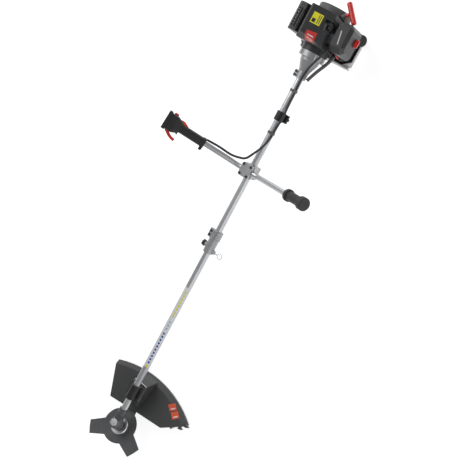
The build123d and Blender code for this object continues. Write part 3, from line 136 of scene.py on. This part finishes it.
# ---------------------------------------------------------------- finishes
# Every hard surface takes its look from one shared group, which knows broad
# patches, fine grain and lighter edges, partly rubbed wear and partly a painted
# edge highlight, and each kind of stuff has its own values.


def surface_group():
    """One finish for every hard surface. Two colours are mixed by a broad
    noise, a fine stretched noise gives roughness and relief, and edges found
    by comparing the true normal with a rounded one take a lighter colour,
    which paints an edge highlight as well as rubbed wear."""
    group = bpy.data.node_groups.new("surface finish", "ShaderNodeTree")
    inputs = (
        ("Colour", "NodeSocketColor"), ("Patch colour", "NodeSocketColor"),
        ("Rub and highlight colour", "NodeSocketColor"),
        ("Patch scale", "NodeSocketFloat"), ("Grain scale", "NodeSocketVector"),
        ("Grain relief", "NodeSocketFloat"),
        ("Roughness", "NodeSocketFloat"), ("Roughness spread", "NodeSocketFloat"),
        ("Edge radius", "NodeSocketFloat"), ("Edge rub and highlight amount", "NodeSocketFloat"))
    for name, kind in inputs:
        group.interface.new_socket(name, in_out="INPUT", socket_type=kind)
    for name, kind in (("Colour", "NodeSocketColor"), ("Roughness", "NodeSocketFloat"),
                       ("Normal", "NodeSocketVector")):
        group.interface.new_socket(name, in_out="OUTPUT", socket_type=kind)
    make = group.nodes.new
    link = group.links.new
    given = make("NodeGroupInput").outputs
    result = make("NodeGroupOutput").inputs
    place = make("ShaderNodeTexCoord").outputs["Object"]

    patches = make("ShaderNodeTexNoise")
    patches.inputs["Detail"].default_value = 4
    link(place, patches.inputs["Vector"])
    link(given["Patch scale"], patches.inputs["Scale"])
    spread = make("ShaderNodeMapRange")
    spread.inputs["From Min"].default_value = 0.35
    spread.inputs["From Max"].default_value = 0.65
    link(patches.outputs["Fac"], spread.inputs["Value"])

    stretch = make("ShaderNodeVectorMath")
    stretch.operation = "MULTIPLY"
    link(place, stretch.inputs[0])
    link(given["Grain scale"], stretch.inputs[1])
    grain = make("ShaderNodeTexNoise")
    grain.inputs["Scale"].default_value = 1
    grain.inputs["Detail"].default_value = 3
    link(stretch.outputs["Vector"], grain.inputs["Vector"])

    # Edges found here take the lighter rub colour: painted edge highlight as well as wear.
    rounded = make("ShaderNodeBevel")
    rounded.samples = 4
    link(given["Edge radius"], rounded.inputs["Radius"])
    flat = make("ShaderNodeNewGeometry")
    agree = make("ShaderNodeVectorMath")
    agree.operation = "DOT_PRODUCT"
    link(rounded.outputs["Normal"], agree.inputs[0])
    link(flat.outputs["Normal"], agree.inputs[1])
    edge = make("ShaderNodeMapRange")
    edge.inputs["From Min"].default_value = 0.985
    edge.inputs["From Max"].default_value = 0.90
    link(agree.outputs["Value"], edge.inputs["Value"])
    broken = make("ShaderNodeMath")
    broken.operation = "MULTIPLY"
    link(edge.outputs["Result"], broken.inputs[0])
    link(spread.outputs["Result"], broken.inputs[1])
    rub_and_highlight_mask = make("ShaderNodeMath")
    rub_and_highlight_mask.operation = "MULTIPLY"
    link(broken.outputs["Value"], rub_and_highlight_mask.inputs[0])
    link(given["Edge rub and highlight amount"], rub_and_highlight_mask.inputs[1])

    body = make("ShaderNodeMix")
    body.data_type = "RGBA"
    link(spread.outputs["Result"], body.inputs["Factor"])
    link(given["Colour"], body.inputs["A"])
    link(given["Patch colour"], body.inputs["B"])
    rub_and_highlight = make("ShaderNodeMix")
    rub_and_highlight.data_type = "RGBA"
    link(rub_and_highlight_mask.outputs["Value"], rub_and_highlight.inputs["Factor"])
    link(body.outputs["Result"], rub_and_highlight.inputs["A"])
    link(given["Rub and highlight colour"], rub_and_highlight.inputs["B"])
    link(rub_and_highlight.outputs["Result"], result["Colour"])

    centred = make("ShaderNodeMath")
    centred.operation = "SUBTRACT"
    centred.inputs[1].default_value = 0.5
    link(grain.outputs["Fac"], centred.inputs[0])
    rough = make("ShaderNodeMath")
    rough.operation = "MULTIPLY_ADD"
    rough.use_clamp = True
    link(centred.outputs["Value"], rough.inputs[0])
    link(given["Roughness spread"], rough.inputs[1])
    link(given["Roughness"], rough.inputs[2])
    link(rough.outputs["Value"], result["Roughness"])

    relief = make("ShaderNodeBump")
    relief.inputs["Distance"].default_value = 0.0004
    link(given["Grain relief"], relief.inputs["Strength"])
    link(grain.outputs["Fac"], relief.inputs["Height"])
    link(rounded.outputs["Normal"], relief.inputs["Normal"])
    link(relief.outputs["Normal"], result["Normal"])
    return group


surface_finish = surface_group()


def finish_of(name, colour, patch, rub_and_highlight, roughness, metallic=0.0, patch_scale=18.0,
              grain=(900, 900, 900),
              relief=0.15, spread=0.2, edge=0.0008, rub_and_highlight_amount=0.4, coat=0.0, coat_roughness=0.1):
    """A material of one kind of stuff, from the shared surface finish."""
    material = bpy.data.materials.new(name)
    material.use_nodes = True
    tree = material.node_tree
    shader = tree.nodes["Principled BSDF"]
    shader.inputs["Metallic"].default_value = metallic
    shader.inputs["Coat Weight"].default_value = coat
    shader.inputs["Coat Roughness"].default_value = coat_roughness
    surface = tree.nodes.new("ShaderNodeGroup")
    surface.node_tree = surface_finish
    # The rub colour and its amount paint lighter edges, both wear and a painted edge highlight.
    given = {"Colour": (*colour, 1), "Patch colour": (*patch, 1), "Rub and highlight colour": (*rub_and_highlight, 1),
             "Patch scale": patch_scale, "Grain scale": grain, "Grain relief": relief,
             "Roughness": roughness,
             "Roughness spread": spread, "Edge radius": edge, "Edge rub and highlight amount": rub_and_highlight_amount}
    for socket, value in given.items():
        surface.inputs[socket].default_value = value
    tree.links.new(surface.outputs["Colour"], shader.inputs["Base Color"])
    tree.links.new(surface.outputs["Roughness"], shader.inputs["Roughness"])
    tree.links.new(surface.outputs["Normal"], shader.inputs["Normal"])
    return material


def put_on(material, *names):
    """Gives CAD pieces a finish through their material slots."""
    for name in names:
        piece = nodes[name]
        if not piece.material_slots:
            piece.data.materials.append(material)
        for place in piece.material_slots:
            place.material = material


# ---------------------------------------------------------------- drive tube
# Two lengths of drawn aluminium tube, brushed lengthwise and clear anodised,
# with fine drawing lines along them and a little dulling from handling.
drawn_tube = finish_of("drawn aluminium", (0.60, 0.61, 0.62), (0.50, 0.51, 0.53), (0.90, 0.90, 0.91), 0.34,
                       metallic=0.85, patch_scale=9, grain=(6, 2200, 2200), relief=0.06, spread=0.25)
put_on(drawn_tube, "lower_tube", "upper_tube", "handlebar")

# ---------------------------------------------------------------- gear head
# A die-cast bevel gear housing painted dark grey, a bright pressed cap over
# its filler hole, ground gears and shafts, and standard ball bearings.
dark_casting = finish_of("painted casting", (0.10, 0.102, 0.106), (0.13, 0.132, 0.136),
                         (0.45, 0.45, 0.46), 0.42,
                         metallic=0.25, patch_scale=40, grain=(700, 700, 700), relief=0.35, spread=0.3,
                         rub_and_highlight_amount=0.5)
put_on(dark_casting, "gear_housing")
plated = finish_of("plated steel", (0.78, 0.78, 0.79), (0.68, 0.68, 0.70), (0.95, 0.95, 0.95), 0.2,
                   metallic=1.0, patch_scale=60, grain=(500, 500, 500), relief=0.03, spread=0.12)
put_on(plated, "gear_cap", "latch_pin", "guard_plate")
ground_steel = finish_of("ground steel", (0.50, 0.51, 0.53), (0.40, 0.41, 0.43), (0.80, 0.80, 0.82), 0.3,
                         metallic=1.0, patch_scale=50, grain=(60, 1800, 1800), relief=0.08, spread=0.25)
put_on(ground_steel, "drive_pinion", "output_spindle", "drive_shafts", "ball_bearings", "blade_fastening",
       "crankshaft", "piston_and_rod", "clutch_drum", "throttle_arm", "line_cutter")
bush_rubber = finish_of("bush rubber", (0.02, 0.02, 0.02), (0.03, 0.03, 0.03), (0.06, 0.06, 0.06), 0.7)
put_on(bush_rubber, "shaft_bushes")

# ---------------------------------------------------------------- blade
# A three-toothed blade stamped from spring steel and coated dark grey, held
# between a bright flange and the dished washer under its nut.
blade_coat = finish_of("blade coating", (0.085, 0.087, 0.090), (0.110, 0.112, 0.116), (0.50, 0.50, 0.52),
                       0.48,
                       metallic=0.35, patch_scale=14, grain=(300, 300, 300), relief=0.12, spread=0.25,
                       edge=0.0007, rub_and_highlight_amount=0.7)
put_on(blade_coat, "blade")
bright_flange = finish_of("turned flange", (0.75, 0.75, 0.76), (0.62, 0.62, 0.64), (0.95, 0.95, 0.95),
                          0.28,
                          metallic=1.0, patch_scale=30, grain=(900, 900, 900), relief=0.08)
put_on(bright_flange, "blade_flange")

# ---------------------------------------------------------------- guard
# A fan of moulded black plastic that hangs behind the blade, bolted through a
# steel plate to a clamp on the tube, with a small steel blade on its rim.
guard_plastic = finish_of("guard plastic", (0.040, 0.041, 0.043), (0.052, 0.053, 0.055),
                          (0.13, 0.13, 0.13), 0.5,
                          patch_scale=7, grain=(1100, 1100, 1100), relief=0.3, spread=0.25, rub_and_highlight_amount=0.5)
black_plastic = finish_of("black moulding", (0.012, 0.012, 0.013), (0.018, 0.018, 0.019),
                          (0.12, 0.12, 0.12), 0.45,
                          patch_scale=20, grain=(1300, 1300, 1300), relief=0.3, spread=0.25, rub_and_highlight_amount=0.45)
put_on(guard_plastic, "guard_shield")
put_on(black_plastic, "guard_clamp")

# ---------------------------------------------------------------- coupler
# A cast aluminium sleeve that joins the two tubes, with a black clamping knob
# on one side and a sprung pin with a pull ring on the other.
bright_casting = finish_of("bright casting", (0.44, 0.45, 0.46), (0.36, 0.37, 0.38), (0.78, 0.78, 0.79),
                           0.45,
                           metallic=0.75, patch_scale=30, grain=(650, 650, 650), relief=0.4, spread=0.3)
put_on(bright_casting, "tube_coupler", "bar_saddle", "bar_cap", "clutch_housing", "crankcase", "cylinder",
       "carburettor", "flywheel")
put_on(black_plastic, "coupler_knob")

# ---------------------------------------------------------------- handlebar
# The bar's two grips, the throttle housing with its red trigger and switch,
# the cable that runs from it to the carburettor, and the harness clamp.
red_plastic = finish_of("red moulding", (0.62, 0.018, 0.012), (0.70, 0.03, 0.02), (0.85, 0.20, 0.15), 0.32,
                        patch_scale=40, grain=(900, 900, 900), relief=0.08, spread=0.15, rub_and_highlight_amount=0.3,
                        coat=0.3)
orange_plastic = finish_of("orange moulding", (0.80, 0.075, 0.015), (0.85, 0.11, 0.03), (0.95, 0.35, 0.2),
                           0.35,
                           patch_scale=40, grain=(900, 900, 900), relief=0.08, spread=0.15, rub_and_highlight_amount=0.3)
grip_rubber = finish_of("grip rubber", (0.028, 0.028, 0.030), (0.042, 0.042, 0.044), (0.09, 0.09, 0.09),
                        0.6,
                        patch_scale=25, grain=(1500, 1500, 1500), relief=0.5, spread=0.2, edge=0.0012)
put_on(red_plastic, "throttle_trigger", "stop_switch")
put_on(orange_plastic, "lockout_lever")
put_on(black_plastic, "grip_collar", "grip_upper_shell", "grip_lower_shell", "half_throttle_button",
       "harness_clamp")
put_on(grip_rubber, "plain_grip", "throttle_cable")
grey_plastic = finish_of("grey moulding", (0.10, 0.10, 0.105), (0.13, 0.13, 0.135), (0.45, 0.45, 0.45),
                         0.5,
                         patch_scale=20, grain=(1200, 1200, 1200), relief=0.3)
put_on(grey_plastic, "cable_clips")
black_screw = finish_of("blackened screw", (0.06, 0.06, 0.065), (0.09, 0.09, 0.095), (0.4, 0.4, 0.4), 0.35,
                        metallic=0.8, patch_scale=200, grain=(900, 900, 900), relief=0.1)
put_on(black_screw, "socket_screws")

# ---------------------------------------------------------------- engine
# A small two-stroke engine in a dark shroud, with a light grey fan housing
# for the pull starter, a louvred muffler guard and an air filter cover.
# Its wide, strong grey edges are a painted edge highlight as well as rubbed wear.
shroud_plastic = finish_of("shroud plastic", (0.024, 0.025, 0.027), (0.033, 0.034, 0.036),
                           (0.30, 0.30, 0.31), 0.4,
                           patch_scale=12, grain=(1000, 1000, 1000), relief=0.25, spread=0.25,
                           edge=0.0016, rub_and_highlight_amount=0.9)
put_on(shroud_plastic, "engine_shroud", "filter_cover", "filter_base")
put_on(black_plastic, "muffler_guard", "spark_plug", "choke_lever", "starter_reel", "fuel_cap",
       "fuel_tank")
put_on(grey_plastic, "recoil_housing")
light_plastic = finish_of("light grey moulding", (0.42, 0.42, 0.43), (0.48, 0.48, 0.49),
                          (0.65, 0.65, 0.65), 0.5,
                          patch_scale=20, grain=(1200, 1200, 1200), relief=0.3)
put_on(light_plastic, "tank_stand")
put_on(red_plastic, "starter_handle", "filter_knob", "fuel_line")
put_on(bush_rubber, "primer_bulb")
hot_steel = finish_of("heated steel", (0.16, 0.14, 0.12), (0.24, 0.20, 0.16), (0.5, 0.45, 0.4), 0.5,
                      metallic=0.8, patch_scale=30, grain=(500, 500, 500), relief=0.2)
put_on(hot_steel, "muffler")

# ---------------------------------------------------------------- wiring and rope
# A ribbed grey conduit for the ignition wires, from the clutch housing to the
# engine, and a short stub of the starter rope.


def path_through(points, count):
    """Points evenly numbered along the smooth curve that passes through the
    given ones: each span is a cubic whose slope at a point is half the step
    from the point before it to the one after."""
    given = np.array(points, float)
    given = np.vstack((2 * given[0] - given[1], given, 2 * given[-1] - given[-2]))
    at = np.linspace(0, len(given) - 3 - 1e-9, count)
    span = at.astype(int)
    t = (at - span)[:, None]
    a, b, c, d = (given[span + step] for step in range(4))
    square = 2 * a - 5 * b + 4 * c - d
    cube = 3 * b - a - 3 * c + d
    return 0.5 * (2 * b + (c - a) * t + square * t ** 2 + cube * t ** 3)


def hose_of(name, path, radii, sides=20):
    """A closed tube round a path: rings of the given radii stand across the
    path, and a flat face closes each end."""
    path = np.asarray(path, float)
    along = np.gradient(path, axis=0)
    along /= np.linalg.norm(along, axis=1)[:, None]
    side = np.cross(along, (0, 0, 1.0))
    side /= np.linalg.norm(side, axis=1)[:, None]
    over = np.cross(side, along)
    turn = np.linspace(0, 2 * np.pi, sides, endpoint=False)
    ring = side[:, None] * np.cos(turn)[:, None] + over[:, None] * np.sin(turn)[:, None]
    points = (path[:, None] + ring * np.asarray(radii)[:, None, None]).reshape(-1, 3)
    rings = len(path)
    index = np.arange(rings * sides).reshape(rings, sides)
    after = np.roll(index, -1, axis=1)
    faces = np.stack((index[:-1], index[1:], after[1:], after[:-1]), axis=-1).reshape(-1, 4).tolist()
    faces += [index[0].tolist(), index[-1][::-1].tolist()]
    mesh = bpy.data.meshes.new(name)
    mesh.from_pydata(points.tolist(), [], faces)
    mesh.shade_smooth()
    mesh.update()
    piece = bpy.data.objects.new(name, mesh)
    bpy.context.scene.collection.objects.link(piece)
    return piece


CONDUIT_RADIUS = 0.0062
CONDUIT_RIBS = 34
RIB_STEPS = 6                       # rings to a rib
RIB_RISE = 0.0006
conduit_path = path_through(((0.662, -0.027, 0.152), (0.698, -0.040, 0.148), (0.740, -0.058, 0.142),
                             (0.771, -0.063, 0.130)), CONDUIT_RIBS * RIB_STEPS + 1)
rib_turn = np.arange(len(conduit_path)) * 2 * np.pi / RIB_STEPS
conduit = hose_of("ribbed_conduit", conduit_path, CONDUIT_RADIUS + RIB_RISE * np.cos(rib_turn))
conduit.data.materials.append(grey_plastic)
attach(conduit, "boom")
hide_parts("wire_conduit")

ROPE_FROM = np.array((0.900, -0.056, 0.190))
PULL = np.array((0.681604, -0.731722, 0))
ROPE_RADIUS = 0.0016
rope_path = ROPE_FROM + PULL * np.linspace(-0.004, 0.018, 48)[:, None]
rope = hose_of("starter_rope", rope_path, np.full(len(rope_path), ROPE_RADIUS), sides=12)
rope_cord = finish_of("rope cord", (0.55, 0.55, 0.53), (0.40, 0.40, 0.39), (0.7, 0.7, 0.7), 0.8,
                      patch_scale=400, grain=(1500, 1500, 1500), relief=0.5)
rope.data.materials.append(rope_cord)
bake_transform(rope)

# ---------------------------------------------------------------- labels
# Plain printed labels with no lettering: a band along the lower tube, two on
# the engine shroud, a bright stripe on the filter cover and two on the guard.


def printed(name, ground, marks=()):
    """A label's print. Each mark is a colour over a rectangle of the label,
    from one corner of its own UV to another, laid over the ground colour."""
    material = bpy.data.materials.new(name)
    material.use_nodes = True
    tree = material.node_tree
    shader = tree.nodes["Principled BSDF"]
    shader.inputs["Roughness"].default_value = 0.4
    shader.inputs["Coat Weight"].default_value = 0.3
    place = tree.nodes.new("ShaderNodeTexCoord").outputs["UV"]
    apart = tree.nodes.new("ShaderNodeSeparateXYZ")
    tree.links.new(place, apart.inputs["Vector"])
    colour = None
    for tint, low, high in marks:
        mask = None
        for axis, start, end in (("X", low[0], high[0]), ("Y", low[1], high[1])):
            for operation, bound in (("GREATER_THAN", start), ("LESS_THAN", end)):
                test = tree.nodes.new("ShaderNodeMath")
                test.operation = operation
                tree.links.new(apart.outputs[axis], test.inputs[0])
                test.inputs[1].default_value = bound
                if mask is None:
                    mask = test.outputs["Value"]
                    continue
                both = tree.nodes.new("ShaderNodeMath")
                both.operation = "MULTIPLY"
                tree.links.new(mask, both.inputs[0])
                tree.links.new(test.outputs["Value"], both.inputs[1])
                mask = both.outputs["Value"]
        mix = tree.nodes.new("ShaderNodeMix")
        mix.data_type = "RGBA"
        tree.links.new(mask, mix.inputs["Factor"])
        mix.inputs["B"].default_value = (*tint, 1)
        if colour is None:
            mix.inputs["A"].default_value = (*ground, 1)
        else:
            tree.links.new(colour, mix.inputs["A"])
        colour = mix.outputs["Result"]
    if colour is None:
        shader.inputs["Base Color"].default_value = (*ground, 1)
    else:
        tree.links.new(colour, shader.inputs["Base Color"])
    return material


def label_of(name, points, material):
    """A thin label over a grid of points, thickened inwards."""
    piece = sheet_of(name, points)
    thick = piece.modifiers.new("thickness", "SOLIDIFY")
    thick.thickness = 0.00012
    thick.offset = -1
    piece.data.materials.append(material)
    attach(piece, "boom")
    return piece


def flat_patch(first, second, third):
    """A two by two grid from three corners: the first, the one along from it,
    and the one across from it, so that the normal faces along cross across."""
    a, b, c = (np.array(corner, float) for corner in (first, second, third))
    return np.array(((a, c), (b, b + c - a)))


LABEL_LIFT = 0.0002
TUBE_RADIUS = 0.013
LABEL_FROM = -0.566
LABEL_TO = -0.201
WHITE = (0.78, 0.79, 0.80)
YELLOW = (0.80, 0.74, 0.02)
BLUE = (0.03, 0.10, 0.42)
RED = (0.60, 0.03, 0.02)
label_x = np.linspace(LABEL_FROM, LABEL_TO, 24)
label_turn = np.radians(np.linspace(12, 118, 22))
label_reach = TUBE_RADIUS + LABEL_LIFT
label_points = np.empty((len(label_x), len(label_turn), 3))
label_points[..., 0] = label_x[:, None]
label_points[..., 1] = -label_reach * np.cos(label_turn)
label_points[..., 2] = AXIS_AT + label_reach * np.sin(label_turn)
PALE_BLUE = (0.40, 0.52, 0.70)
tube_marks = [(BLUE, (0, 0.14), (1, 0.18)), (YELLOW, (0, 0.34), (0.03, 0.70))]
for tint, start, end in ((BLUE, 0.05, 0.46), (PALE_BLUE, 0.48, 0.62), (YELLOW, 0.64, 0.97)):
    for first in np.arange(start, end - 0.02, 0.041):
        tube_marks.append((tint, (first, 0.36), (first + 0.024, 0.68)))
label_of("tube_label", label_points, printed("tube print", WHITE, tube_marks))

SHROUD_FALL = 17 / 66               # how fast the shroud's top falls towards the left


def on_shroud(x, y):
    """A point just over the shroud's sloping top, from its plan position."""
    return (x, y, 0.268 + LABEL_LIFT + SHROUD_FALL * (y - 0.032))


label_of("warning_label", flat_patch(on_shroud(0.828, -0.019), on_shroud(0.864, -0.019),
                                     on_shroud(0.828, 0.015)),
         printed("warning print", YELLOW, [((0.02, 0.02, 0.02), (0.1, 0.55), (0.45, 0.9)),
                                           ((0.05, 0.05, 0.05), (0.1, 0.12), (0.9, 0.20)),
                                           ((0.05, 0.05, 0.05), (0.1, 0.30), (0.9, 0.38))]))

SLOPE_FOOT = (0.771, 0.238)         # where the shroud's slanted front starts, along and up
SLOPE_RISE = 31 / 21
FOOT_GAP = 0.0025                   # from there to the badge
BADGE_RIGHT = 0.010
BADGE_LEFT = -0.026
BADGE_BACK = 0.803
BADGE_SKEW = 0.1


def over_the_front(y, back):
    """The badge's three points at one distance across: on the top at its back
    edge, on the fold, and on the slanted front just above its foot."""
    top = on_shroud(0, y)[2]
    fold = SLOPE_FOOT[0] + (top - SLOPE_FOOT[1]) / SLOPE_RISE
    foot = SLOPE_FOOT[0] + FOOT_GAP
    foot_up = SLOPE_FOOT[1] + FOOT_GAP * SLOPE_RISE + LABEL_LIFT
    return (on_shroud(back, y), (fold - LABEL_LIFT, y, top), (foot - LABEL_LIFT, y, foot_up))


badge_points = np.array([over_the_front(y, BADGE_BACK + BADGE_SKEW * (BADGE_RIGHT - y))
                         for y in np.linspace(BADGE_RIGHT, BADGE_LEFT, 4)])
label_of("shroud_badge", badge_points.transpose(1, 0, 2)[::-1, ::-1],
         printed("badge print", RED, [(WHITE, (0.62, 0.2), (0.70, 0.8)), (WHITE, (0.36, 0.2), (0.40, 0.8)),
                                      (WHITE, (0.24, 0.2), (0.28, 0.8)),
                                      (WHITE, (0.12, 0.2), (0.16, 0.6))]))

FILTER_TOP = 0.222 + LABEL_LIFT
label_of("filter_stripe", flat_patch((0.806, -0.094, FILTER_TOP), (0.850, -0.085, FILTER_TOP),
                                     (0.806, -0.090, FILTER_TOP)),
                                     printed("stripe print", (0.6, 0.6, 0.62)))

GUARD_AT = np.array((-0.863467, 0, 0.125451))
GUARD_NORMAL = np.array((0.390731, 0, 0.920505))


def on_guard(x, y):
    """A point just over the guard's upper face, from its plan position."""
    height = GUARD_AT[2] - GUARD_NORMAL[0] / GUARD_NORMAL[2] * (x - GUARD_AT[0])
    return np.array((x, y, height)) + GUARD_NORMAL * LABEL_LIFT


for name, corner, along, over in (
        ("front_guard_label", (-0.707, -0.140), (-0.687, -0.161), (-0.692, -0.118)),
        ("rear_guard_label", (-0.724, -0.169), (-0.703, -0.189), (-0.708, -0.146))):
    label_of(name, flat_patch(on_guard(*corner), on_guard(*along), on_guard(*over)),
             printed(name + " print", (0.75, 0.10, 0.03), [((0.8, 0.8, 0.8), (0.2, 0.2), (0.8, 0.35))]))
